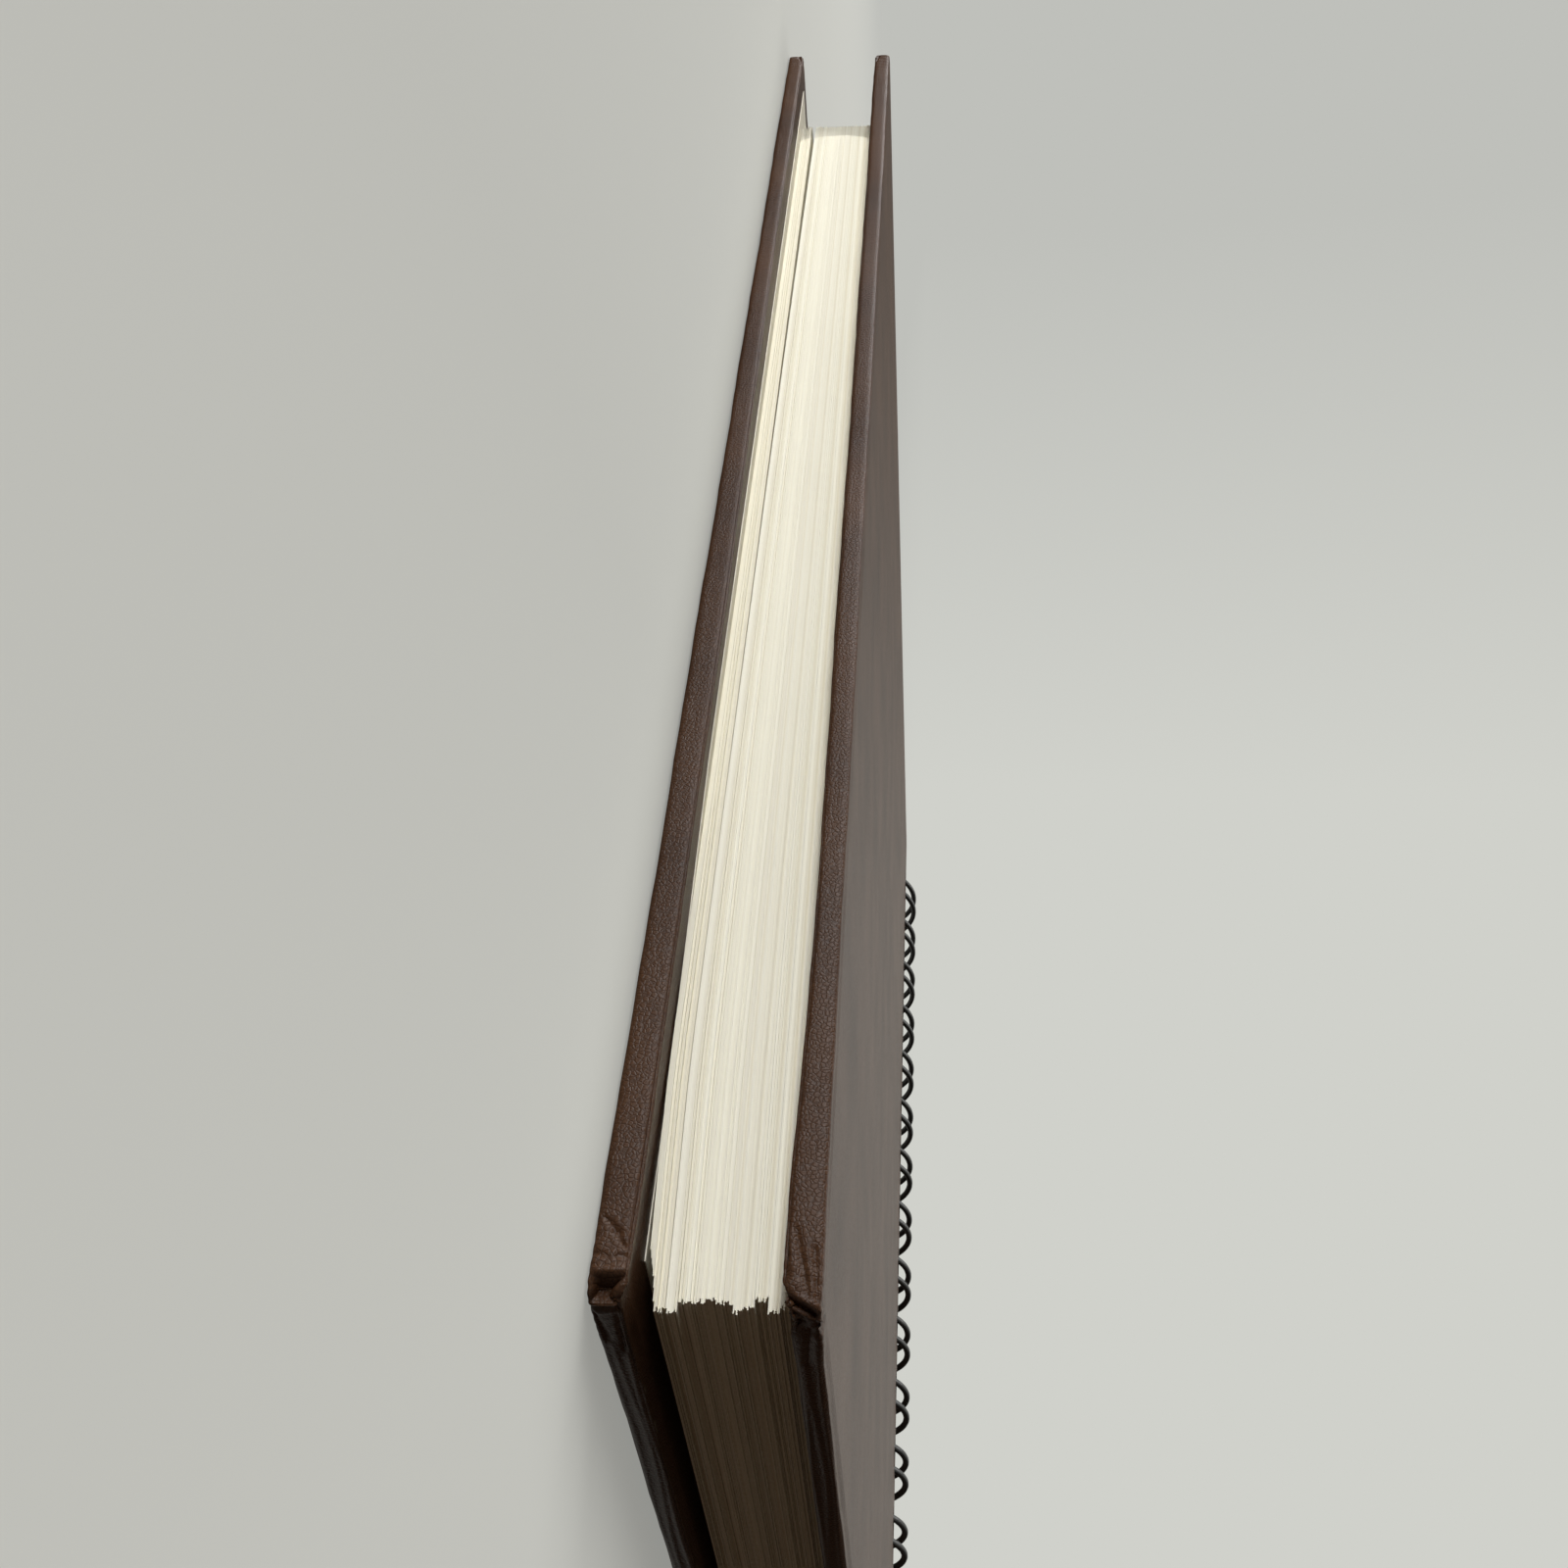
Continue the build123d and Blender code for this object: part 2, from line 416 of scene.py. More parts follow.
def rimProfile():
    # From the outer face round the rim to the inner face: inset, height, normal out, normal up
    depth, half, shape = coverSkin["noseDepth"], journal["coverThick"] / 2, coverSkin["noseShape"]

    def spot(turn):
        c, s = np.maximum(np.cos(turn), 0), np.sin(turn)
        return depth * (1 - c ** shape), half + half * np.sign(s) * np.abs(s) ** shape

    turns = np.linspace(-math.pi / 2, math.pi / 2, 2001)  # fine enough to measure the profile's length
    insets, heights = spot(turns)
    lengths = np.concatenate([[0], np.cumsum(np.hypot(np.diff(insets), np.diff(heights)))])
    turns = np.interp(np.linspace(0, lengths[-1], coverSkin["rowsRound"] + 1), lengths, turns)
    insets, heights = spot(turns)
    outs = np.maximum(np.cos(turns), 0) ** (2 - shape) / depth
    ups = np.sign(np.sin(turns)) * np.abs(np.sin(turns)) ** (2 - shape) / half
    sizes = np.hypot(outs, ups)
    flats = [coverSkin["rimInset"], *coverSkin["fadeInsets"], coverSkin["faceInset"]]
    rows = [(inset, 0.0, 0.0, -1.0) for inset in reversed(flats)]
    rows += list(zip(insets, heights, outs / sizes, ups / sizes))
    return rows + [(inset, 2 * half, 0.0, 1.0) for inset in flats]


# How the rim is pressed in all round, apart from its folds
rimShape = {
    "waves": [(61.0, 0.035), (23.0, 0.025), (9.0, 0.018), (4.1, 0.01)],  # length and height
    "waveTilt": 0.8,
    "groove": {"across": 1.25, "wide": 0.16, "deep": 0.16, "wave": 0.05, "waveCount": 7},
    "ripple": {"reach": 5.0, "high": 0.03, "along": 5.0, "across": 2.0},
    "slack": 0.12,
    "slackRun": (3.0, 9.0),  # from the near corner along the head, and where it ends
    "slackEnd": (120.0, 170.0),
}

# Folds at the corners. a runs along the rim from the corner's middle, towards the spine on the head side;
# b runs across the rim from its middle, towards the inner face.
backCornerFolds = [
    {"from": (-6.5, -0.9), "to": (-4.6, 0.7), "wide": 0.16, "deep": 0.14, "fades": True},
    {"from": (-5.4, -0.2), "to": (-3.6, 1.0), "wide": 0.14, "deep": 0.16, "fades": True},
    {"from": (-3.4, -1.3), "to": (-3.0, 0.1), "wide": 0.2, "deep": 0.12, "fades": True},
    {"from": (-3.0, 0.1), "to": (-3.3, 1.3), "wide": 0.2, "deep": 0.12, "fades": True},
    {"from": (1.6, -1.2), "to": (7.0, -0.3), "wide": 0.3, "deep": 0.3, "fades": True},
    {"from": (1.6, 0.9), "to": (9.0, 0.6), "wide": 0.25, "deep": 0.25, "fades": True},
]
frontCornerFolds = [
    {"from": (-2.5, 2.2), "to": (0.3, -0.9), "wide": 0.24, "deep": 0.75},
    {"from": (-7.5, 0.7), "to": (-0.9, -0.4), "wide": 0.2, "deep": 0.16, "fades": True},
    {"from": (-6.0, -0.5), "to": (-0.4, -1.0), "wide": 0.2, "deep": 0.16, "fades": True},
    {"from": (-8.0, 1.4), "to": (-2.2, 0.9), "wide": 0.18, "deep": 0.12, "fades": True},
    {"from": (-0.9, 1.9), "to": (0.6, 0.2), "wide": 0.25, "deep": 0.3},
    {"from": (1.6, -0.4), "to": (8.0, 0.2), "wide": 0.3, "deep": 0.22, "fades": True},
]
plainCornerFolds = [
    {"from": (-4.5, 1.2), "to": (-0.6, -0.2), "wide": 0.2, "deep": 0.2, "fades": True},
    {"from": (4.0, 1.5), "to": (0.5, 0.3), "wide": 0.25, "deep": 0.3, "fades": True},
    {"from": (-0.2, 2.0), "to": (0.1, -0.5), "wide": 0.3, "deep": 0.45},
]

# At the back cover's near corner the head turn-in stands open like the mouth of a sleeve
backMouth = {
    "deep": 1.28,
    "opens": (-1.85, -1.05),
    "closes": (0.62, 0.9),
    "middle": 0.25,
    "side": (0.75, 1.5),
    "lip": {"at": -2.05, "wide": 0.22, "high": 0.09, "side": (1.1, 1.6)},
    "hollow": {"at": 1.5, "wide": 0.3, "deep": 0.28, "side": (1.2, 1.9)},
}

# At the front cover's near corner the tuck past the slanting slit lies lower, with a hollow under it
frontTuck = {
    "slit": (-1.1, 0.65),
    "slant": (0.74, 0.67),
    "deep": 0.3,
    "edge": (0.0, 0.4),
    "ends": (2.2, 3.2),
    "hollow": {"at": 1.5, "wide": 0.5, "deep": 0.55, "side": (-0.4, 0.4)},
}

# Long slack folds in the head turn-in: place across the rim, wave, wave length and height
headRidges = [
    {"across": -0.75, "wave": 0.12, "waveMm": 31.0, "wide": 0.22, "high": 0.09},
    {"across": 0.1, "wave": 0.3, "waveMm": 43.0, "wide": 0.25, "high": 0.12},
    {"across": 0.8, "wave": 0.14, "waveMm": 27.0, "wide": 0.2, "high": 0.08},
]


foldEnd = 0.2  # the share of a fold's length over which it fades in or out


def crease(a, b, fold):
    # The depth of one fold that runs from one spot to another, deepest along its middle
    start, end = np.array(fold["from"]), np.array(fold["to"])
    run = end - start
    t = np.clip(((a - start[0]) * run[0] + (b - start[1]) * run[1]) / (run @ run), 0, 1)
    away = np.hypot(a - start[0] - t * run[0], b - start[1] - t * run[1])
    ends = smooth(0, foldEnd, t) * smooth(0, foldEnd, 1 - t) if fold.get("fades") else 1
    return fold["deep"] * bell(away, 0, fold["wide"]) * ends


def mouthDepth(a, b):
    mouth, lip, hollow = backMouth, backMouth["lip"], backMouth["hollow"]
    opened = smooth(*mouth["opens"], a) * fade(*mouth["closes"], a)
    deep = mouth["deep"] * opened * fade(*mouth["side"], np.abs(b - mouth["middle"]))
    deep -= lip["high"] * bell(a, lip["at"], lip["wide"]) * fade(*lip["side"], np.abs(b))
    return deep + hollow["deep"] * bell(a, hollow["at"], hollow["wide"]) * fade(*hollow["side"], np.abs(b))


def tuckDepth(a, b):
    tuck, hollow = frontTuck, frontTuck["hollow"]
    past = (a - tuck["slit"][0]) * tuck["slant"][0] + (b - tuck["slit"][1]) * tuck["slant"][1]
    deep = tuck["deep"] * smooth(*tuck["edge"], past) * fade(*tuck["ends"], a)
    return deep + hollow["deep"] * bell(a, hollow["at"], hollow["wide"]) * smooth(*hollow["side"], b)


def fromCorner(columns, middle, total):
    # How far each column is from a corner's middle, the short way round
    along = np.array([column[3] for column in columns])[:, None]
    return (along - middle + total / 2) % total - total / 2


def rimShare(rows):
    # All of the rim's shape on the rim itself, and none where the flat faces begin
    edge = np.array([row[0] for row in rows])[None, :]
    return fade(coverSkin["rimInset"], coverSkin["faceInset"], edge)


def rimDepth(columns, rows, cornerMiddles, total, isBack):
    # How far each point of the rim is pressed in, columns by rows
    draw = random.Random(coverSkin["backSeed"] if isBack else coverSkin["frontSeed"])

    along = np.array([column[3] for column in columns])[:, None]

    def phase():
        return draw.uniform(0, 6.3)

    def allRound(count):
        return 2 * math.pi * count * along / total

    spots = np.array([(row[0], row[1]) for row in rows])
    across = np.concatenate([[0], np.cumsum(np.hypot(*np.diff(spots, axis=0).T))])
    across = (across - across[-1] / 2)[None, :]
    deep = np.full((len(columns), len(rows)), coverSkin["setBack"])
    for waveMm, size in rimShape["waves"]:
        start, tilt = phase(), draw.uniform(-rimShape["waveTilt"], rimShape["waveTilt"])
        deep += size * np.sin(allRound(round(total / waveMm)) + start + tilt * across)
    # The turn-in is pulled tight over the inner arris, which leaves a shallow groove beside it
    groove = rimShape["groove"]
    grooveDeep = groove["deep"] + groove["wave"] * np.sin(allRound(groove["waveCount"]) + phase())
    deep += grooveDeep * bell(across, groove["across"], groove["wide"])
    ripple = rimShape["ripple"]
    for corner, middle in enumerate(cornerMiddles):
        a = fromCorner(columns, middle, total)
        rippled = np.sin(ripple["along"] * a + ripple["across"] * across + phase())
        deep += ripple["high"] * bell(a, 0, ripple["reach"]) * rippled
        folds = plainCornerFolds
        if corner == 0:
            folds = backCornerFolds if isBack else frontCornerFolds
        for fold in folds:
            deep += crease(a, across, fold)
        if corner == 0:
            deep += mouthDepth(a, across) if isBack else tuckDepth(a, across)
    a = fromCorner(columns, cornerMiddles[0], total)
    slack = smooth(*rimShape["slackRun"], a) * fade(*rimShape["slackEnd"], a)
    deep += rimShape["slack"] * slack
    for ridge in headRidges:
        middle = ridge["across"] + ridge["wave"] * np.sin(2 * math.pi * a / ridge["waveMm"] + phase())
        deep -= ridge["high"] * slack * bell(across, middle, ridge["wide"])
    return np.maximum(deep * rimShare(rows), 0.0)


def rimLift(columns, rows, cornerMiddles, total, isBack):
    # The slack turn-in stands a little higher along the fore-edge, up to the head corner
    a = fromCorner(columns, cornerMiddles[0], total)
    height = np.array([row[1] for row in rows])[None, :] / journal["coverThick"]
    run = coverSkin["backSwellRun"] if isBack else coverSkin["frontSwellRun"]
    swell = smooth(*run, a) * fade(*coverSkin["swellEnd"], a)
    return coverSkin["swell"] * swell * smooth(*coverSkin["swellFrom"], height) * rimShare(rows)


def fillFlat(loops, numbers, flip):
    # Triangles over a flat outline with holes; numbers holds each loop's point numbers
    flatLoops = [[Vector((x, y, 0)) for x, y in loop] for loop in loops]
    flatPoints = [point for loop in flatLoops for point in loop]
    flatNumbers = [n for loop in numbers for n in loop]
    made = []
    for a, b, c in tessellate_polygon(flatLoops):
        up = (flatPoints[b] - flatPoints[a]).cross(flatPoints[c] - flatPoints[a]).z > 0
        order = (a, b, c) if up != flip else (a, c, b)
        made.append(tuple(flatNumbers[i] for i in order))
    return made


def makeCoverSkin(isBack):
    columns, cornerMiddles, total = outlineColumns()
    rows = rimProfile()
    deep = rimDepth(columns, rows, cornerMiddles, total, isBack)
    lift = rimLift(columns, rows, cornerMiddles, total, isBack)
    turns = [math.radians(90 * side) + (bend or 0) * math.pi / 2 for side, _, bend, _ in columns]
    outs = np.array([(math.cos(turn), math.sin(turn)) for turn in turns])
    rings = []
    for j, (inset, height, out, up) in enumerate(rows):
        ring = outlineRing(columns, inset) - outs * (deep[:, j] * out)[:, None]
        rings.append(np.column_stack([ring, height + lift[:, j] - deep[:, j] * up]))
    points = list(np.vstack(rings))
    count, last = len(columns), len(rows) - 1
    faces = []
    for j in range(last):
        for i in range(count):
            k = (i + 1) % count
            faces.append((j * count + i, j * count + k, (j + 1) * count + k, (j + 1) * count + i))
    rimFaces = len(faces)
    for row, height, inward in ((0, 0.0, False), (last, journal["coverThick"], True)):
        loops = [[tuple(p[:2]) for p in points[row * count:(row + 1) * count]]]
        numbers = [list(range(row * count, (row + 1) * count))]
        windows = coverHoles(isBack)
        if inward:  # the inner face is open inside the turn-ins, under the endpaper
            edge = coverSkin["turnIn"]
            windows.append((edge, journal["coverWidth"] - edge, edge - halfHeight, halfHeight - edge))
        for window in windows:
            loops.append(rectangle(*window))
            numbers.append(list(range(len(points), len(points) + 4)))
            points += [np.array([x, y, height]) for x, y in loops[-1]]
        faces += fillFlat(loops, numbers, not inward)
    piece = addCoverPiece(isBack, points, faces, "leatherette", ("back_leatherette", "back_wrap"),
                          ("front_leatherette", "front_wrap"))
    for face in piece.data.polygons[rimFaces:]:  # the wide faces are truly flat, so their shading is too
        face.use_smooth = False
    shell = piece.modifiers.new("film and cloth", "SOLIDIFY")
    shell.thickness = coverSkin["thick"] / 1000
    shell.offset = -1.0


# The boards, cut a little short of the skin's rim and clipped at the corners
board = {"inset": 0.75, "low": 0.27, "high": 2.33, "clip": 3.4}


def makeBoard(isBack):
    low, clip = board["inset"], board["clip"]
    high, top = journal["coverWidth"] - low, halfHeight - low
    outer = [(low + clip, -top), (high - clip, -top), (high, clip - top), (high, top - clip),
             (high - clip, top), (low + clip, top), (low, top - clip), (low, clip - top)]
    loops = [outer] + [rectangle(*hole) for hole in coverHoles(isBack)]
    points, faces, numbers = [], [], []
    for loop in loops:
        first, size = len(points), len(loop)
        numbers.append(list(range(first, first + size)))
        points += [(x, y, z) for z in (board["low"], board["high"]) for x, y in loop]
        for i in range(size):
            k = (i + 1) % size
            side = (first + i, first + k, first + size + k, first + size + i)
            faces.append(side if loop is outer else side[::-1])
    faces += fillFlat(loops, numbers, True)
    lids = [[n + len(loop) for n in line] for loop, line in zip(loops, numbers)]
    faces += fillFlat(loops, lids, False)
    addCoverPiece(isBack, points, faces, "grey_board", ("back_greyboard", "back_board"),
                  ("front_greyboard", "front_board"))


def punchedSheet(xs, ys, isOpen):
    # Faces of a thin sheet over a grid, with some cells left open; the upper points come first
    nx, ny = len(xs), len(ys)
    lower = nx * ny

    def filled(i, j):
        return 0 <= i < nx - 1 and 0 <= j < ny - 1 and not isOpen(i, j)

    faces = []
    for i in range(nx - 1):
        for j in range(ny - 1):
            if not filled(i, j):
                continue
            a, b, c, d = i * ny + j, (i + 1) * ny + j, (i + 1) * ny + j + 1, i * ny + j + 1
            faces.append((a, b, c, d))
            faces.append((lower + d, lower + c, lower + b, lower + a))
            for p, q, di, dj in ((a, b, 0, -1), (b, c, 1, 0), (c, d, 0, 1), (d, a, -1, 0)):
                if not filled(i + di, j + dj):
                    faces.append((p, lower + p, lower + q, q))
    return faces


# Endpapers, pasted over the turn-ins and sunk onto the board inside them
liner = {
    "inset": 7.0,
    "askew": [(-110.0, 3.8), (55.0, 4.4), (92.0, 7.0), (110.0, 7.4)],  # its fore-edge inset along the cover
    "spineInset": 1.4,
    "spineColumn": 11.0,
    "foreColumn": 9.5,
    "plainFrom": 30,
    "plainColumns": 14,
    "endRow": 4.0,
    "thick": 0.12,
    "lowerAt": 0.9,  # of its thickness, which keeps its lower face just clear of the skin
    "turnIn": 16.0,
    "sink": 0.28,
    "softEdge": 1.6,
    "sinkRun": (-0.5, 0.8),  # across the turn-in's edge, in soft edges
    "cockle": 0.03,
    "cockleMm": (17, 23),
    "cockleRun": (2, 12),
    "backSeed": 21,
    "frontSeed": 22,
}


def makeLiner(isBack):
    draw = random.Random(liner["backSeed"] if isBack else liner["frontSeed"])
    width, edge, soft = journal["coverWidth"], liner["turnIn"], liner["softEdge"]
    holes = coverHoles(isBack)
    slope = [d * soft for d in (-1, -0.5, 0, 0.5, 1)]  # the grid's lines across a turn-in's edge
    xs = [liner["spineInset"], holes[0][0], holes[0][1], liner["spineColumn"]]
    xs += [edge + d for d in slope] + [width - edge + d for d in slope]
    xs += list(np.linspace(liner["plainFrom"], width - liner["plainFrom"], liner["plainColumns"]))
    xs += [width - liner["foreColumn"], width - liner["inset"]]
    top = halfHeight - liner["inset"]
    ys = [-top, -top + liner["endRow"], top - liner["endRow"], top]
    ys += [s * (halfHeight - edge + d) for s in (-1, 1) for d in slope]
    ys += [y for hole in holes for y in hole[2:]]
    xs, ys = np.array(sorted(xs)), np.array(sorted(ys))
    holeColumn = int(np.argmin(np.abs(xs - holes[0][0])))
    inHole = set()
    for hole in holes:
        start, end = (int(np.argmin(np.abs(ys - y))) for y in hole[2:])
        inHole.update(range(start, end))
    faces = punchedSheet(xs, ys, lambda i, j: i == holeColumn and j in inHole)
    gx, gy = np.meshgrid(xs, ys, indexing="ij")
    inside = np.minimum(np.minimum(gx - edge, width - edge - gx),
                        np.minimum(gy + halfHeight - edge, halfHeight - edge - gy))
    sunk = liner["sink"] * smooth(*(soft * share for share in liner["sinkRun"]), inside)
    cockleX, cockleY = liner["cockleMm"]
    cockle = liner["cockle"] * np.sin(gx / cockleX + draw.uniform(0, 6))
    cockle *= np.sin(gy / cockleY + draw.uniform(0, 6))
    height = journal["coverThick"] + liner["thick"] - sunk
    height -= np.abs(cockle) * smooth(*liner["cockleRun"], inside)
    gx[-1] = width - readAt(liner["askew"], gy[-1])
    upper = np.column_stack([gx.ravel(), gy.ravel(), height.ravel()])
    lower = upper - np.array([0, 0, liner["thick"] * liner["lowerAt"]])
    addCoverPiece(isBack, np.vstack([upper, lower]), faces, "endpaper", ("back_endpaper", "back_liner"),
                  ("front_endpaper", "front_liner"))


# The leaves: each is its own thin sheet with its own holes, and they stand apart in a few groups
leaves = {
    "count": 98,
    "share": 0.97,  # of the room that each leaf takes up; the rest is air
    "width": 188.0,
    "columns": [60, 100, 140, 168, 178],
    "head": 112.5,
    "tail": -98.8,
    "tailDome": 1.8,  # how much further the middle leaves reach at the tail
    "tailCornerRound": 3.5,
    "tailCornerTurns": (0, 22, 45, 68, 90),
    "top": 5.84,
    "bottomAtSpine": -5.6,
    "bottomAtFore": [(-101.0, -5.84), (90.0, -5.84), (112.0, -5.2)],
    "foreRun": (10, 185),  # across the leaves, from the heights at the spine to those at the fore-edge
    "parting": [(-101.0, 0.62), (-88.0, 0.45), (-40.0, 0.22), (10.0, 0.08), (60.0, 0.0)],  # over group 0
    "skewDegrees": 0.25,  # pulled in at the tail, within the play of the holes
    "drawnBack": 0.4,
    "gaps": [(0.15, 0.003), (0.23, 0.001), (0.36, 0.001), (0.5, 0.001), (0.61, 0.001), (0.68, 0.001),
             (0.76, 0.001), (0.85, 0.001), (0.93, 0.001)],  # place in the stack, and share of its room
    "groupShort": [0.1, 0.05, 0.9, 1.0, 0.85, 0.2, 0.45, 1.2, 0.15, 0.6],  # at the head, one for each group
    "cornerShort": 5.3,  # how far the lowest leaf's corner has slid back
    "cornerShare": 0.07,  # of the leaves, which have slid back with it
    "cornerCurve": 0.8,
    "headRows": [(0, 1), (1.2, 0.7), (3.0, 0.4)],  # how far in, and how much of the shortness reaches there
    "shortSpread": (-0.1, 0.36),
    "slideSpread": 0.09,
    "slideRun": (0, 180),
    "tailSpread": 0.25,
    "firstYellow": 0.42,  # of group 0
    "yellow": 0.16,
    # Streaks of painted shade, and of painted highlight where the amount is negative, stand in for leaf edges
    # that lie back or stand out
    "paintedShadeStreaks": [(0.14, 0.01, 0.4), (0.175, 0.02, -0.2), (0.41, 0.008, 0.35), (0.6, 0.011, 0.5),
                (0.69, 0.012, 0.45), (0.76, 0.015, -0.2), (0.815, 0.013, 0.5), (0.86, 0.02, -0.2),
                (0.91, 0.01, 0.45)],  # place in the stack, width, and how much yellower, as painted shade; a negative amount is a painted highlight
    "driftKept": 0.8,
    "driftSpread": 0.1,
    "seed": 11,
}


def leafGrid():
    halfLong, wide = journal["holeLength"] / 2, journal["holeWidth"] / 2
    xs = [0.0, journal["holeInset"] - halfLong, journal["holeInset"] + halfLong] + leaves["columns"]
    for turn in leaves["tailCornerTurns"]:
        xs.append(leaves["width"] - leaves["tailCornerRound"] * (1 - math.sin(math.radians(turn))))
    ys = [leaves["tail"]] + [leaves["head"] - back for back, _ in leaves["headRows"]]
    ys += [y + side * wide for y in loopYs for side in (-1, 1)]
    xs, ys = np.array(xs), np.array(sorted(ys))
    starts = {int(np.argmin(np.abs(ys - (y - wide)))) for y in loopYs}
    return xs, ys, punchedSheet(xs, ys, lambda i, j: i == 1 and j in starts)


def leafToneAndPaintedShade(share, isFirst):
    yellow = leaves["firstYellow"] if isFirst else leaves["yellow"]
    # The streaks add painted shade, or painted highlight where negative, to each leaf's tint
    for place, width, shade in leaves["paintedShadeStreaks"]:
        yellow += shade * math.exp(-((share - place) / width) ** 2)
    return yellow


def makeLeaves():
    draw = random.Random(leaves["seed"])
    xs, ys, oneLeaf = leafGrid()
    gx, gy = np.meshgrid(xs, ys, indexing="ij")
    fore = smooth(*leaves["foreRun"], gx)
    bottom = leaves["bottomAtSpine"] * (1 - fore) + readAt(leaves["bottomAtFore"], gy) * fore
    room = leaves["top"] - bottom
    parted = readAt(leaves["parting"], gy) * fore
    places, shares = np.array(leaves["gaps"]).T
    count = leaves["count"]
    step = (1 - shares.sum()) / count
    skew = math.radians(leaves["skewDegrees"])
    rounding = leaves["tailCornerRound"]
    intoCorner = np.maximum(xs - (leaves["width"] - rounding), 0)
    cornerCut = rounding - np.sqrt(np.maximum(rounding ** 2 - intoCorner ** 2, 0))
    points, faces, tintsAndPaintedShade, drift = [], [], [], 0.0
    for n in range(count):
        share = n / (count - 1)
        group = int(np.searchsorted(places, share))
        opened = shares[places < share].sum() + step * n
        over = parted * (1 - opened) / (1 - places[0]) if group else 0
        low = bottom + room * opened + over
        thick = (room - over) * step * leaves["share"]
        slide = draw.gauss(0, leaves["slideSpread"])
        short = leaves["groupShort"][group] + draw.uniform(*leaves["shortSpread"])
        short += leaves["cornerShort"] * max(1 - share / leaves["cornerShare"], 0) ** leaves["cornerCurve"]
        x = journal["ringRadius"] - journal["holeInset"] + gx + slide * smooth(*leaves["slideRun"], gx)
        x -= leaves["drawnBack"]
        y = gy.copy()
        y[:, 0] += cornerCut
        for row, (_, reach) in enumerate(leaves["headRows"], 1):
            y[:, -row] -= short * reach
        y[:, 0] += draw.uniform(0, leaves["tailSpread"]) + leaves["tailDome"] * (2 * share - 1) ** 2
        turnedX = x + skew * y
        turnedY = y - skew * (x - leaves["width"] / 2)
        first = n * 2 * gx.size
        for height in (low + thick, low):
            points.append(np.column_stack([turnedX.ravel(), turnedY.ravel(), height.ravel()]))
        faces += [tuple(first + i for i in face) for face in oneLeaf]
        # A few leaves together are a shade lighter or darker
        drift = leaves["driftKept"] * drift + draw.gauss(0, leaves["driftSpread"])
        tintsAndPaintedShade += [min(max(leafToneAndPaintedShade(share, group == 0) + drift, 0), 1)] * (2 * gx.size)
    # Each leaf's tint, with its painted shade and painted highlight streaks, goes to the paper as an
    # attribute
    piece = addPiece("leaves", np.vstack(points), faces, "leaf_paper", "pages", "page_block")
    tintAndPaintedShade = piece.data.attributes.new("leafTint", "FLOAT", "POINT")
    tintAndPaintedShade.data.foreach_set("value", tintsAndPaintedShade)


# The wire: two legs a loop, closed at the tips under the back cover and crossing there to the next loop
wire = {
    "radius": 0.59,
    "prongWidth": 4.1,
    "seamAngle": 270.0,
    "seamGap": 0.25,
    "standsOff": 0.12,  # hand-closed loops don't stand quite square
    "sides": 12,
    "arcStep": 5.0,
    "bendSteps": 14,
    "sharpAngle": 60.0,
    "seed": 5,
}


def wirePath():
    ring = journal["ringRadius"]
    tip = wire["prongWidth"] / 2
    root = (journal["pitch"] - wire["prongWidth"]) / 2
    reach = tip + root + 2 * wire["radius"] + wire["seamGap"]
    closing = math.sqrt(reach ** 2 - (journal["pitch"] / 2) ** 2)
    half = math.degrees(closing / ring) / 2
    start, end = wire["seamAngle"] + half - 360, wire["seamAngle"] - half
    angles = list(np.arange(start, end, wire["arcStep"])) + [end]
    draw = random.Random(wire["seed"])

    def ringSpot(angle, y):
        turn = math.radians(angle)
        return Vector((ring * math.cos(turn), y, ring * math.sin(turn)))

    def bend(angle, y, radius, outward):
        turn = math.radians(angle)
        run = Vector((-math.sin(turn), 0, math.cos(turn)))
        sweeps = [math.pi * i / wire["bendSteps"] for i in range(1, wire["bendSteps"])]
        return [ringSpot(angle, y - radius * math.cos(sweep)) + run * (outward * radius) * math.sin(sweep)
                for sweep in sweeps]

    path = []
    for number, y in enumerate(loopYs):
        off = draw.uniform(-wire["standsOff"], wire["standsOff"])
        path += [ringSpot(a, y - tip + off * math.sin(math.radians(a))) for a in angles]
        path += bend(end, y + off * math.sin(math.radians(end)), tip, 1)
        path += [ringSpot(a, y + tip + off * math.sin(math.radians(a))) for a in reversed(angles)]
        if number < len(loopYs) - 1:
            path += bend(start, y + journal["pitch"] / 2, root, -1)
    return path


def makeWire():
    path, sides = wirePath(), wire["sides"]
    last = len(path) - 1
    points, faces, across = [], [], None
    for k, spot in enumerate(path):
        ahead = (path[min(k + 1, last)] - path[max(k - 1, 0)]).normalized()
        if across is None:
            across = ahead.orthogonal().normalized()
        across = (across - ahead * across.dot(ahead)).normalized()
        other = ahead.cross(across)
        for i in range(sides):
            turn = 2 * math.pi * i / sides
            points.append(spot + (across * math.cos(turn) + other * math.sin(turn)) * wire["radius"])
    for k in range(last):
        for i in range(sides):
            j = (i + 1) % sides
            faces.append((k * sides + i, k * sides + j, (k + 1) * sides + j, (k + 1) * sides + i))
    faces.append(tuple(reversed(range(sides))))
    faces.append(tuple(range(last * sides, (last + 1) * sides)))
    addPiece("twin_loop_wire", points, faces, "coated_wire", "back_cover", "binding_wire", wire["sharpAngle"])


for isBack in (True, False):
    makeBoard(isBack)
    makeCoverSkin(isBack)
    makeLiner(isBack)
makeLeaves()
makeWire()
print("journal built")

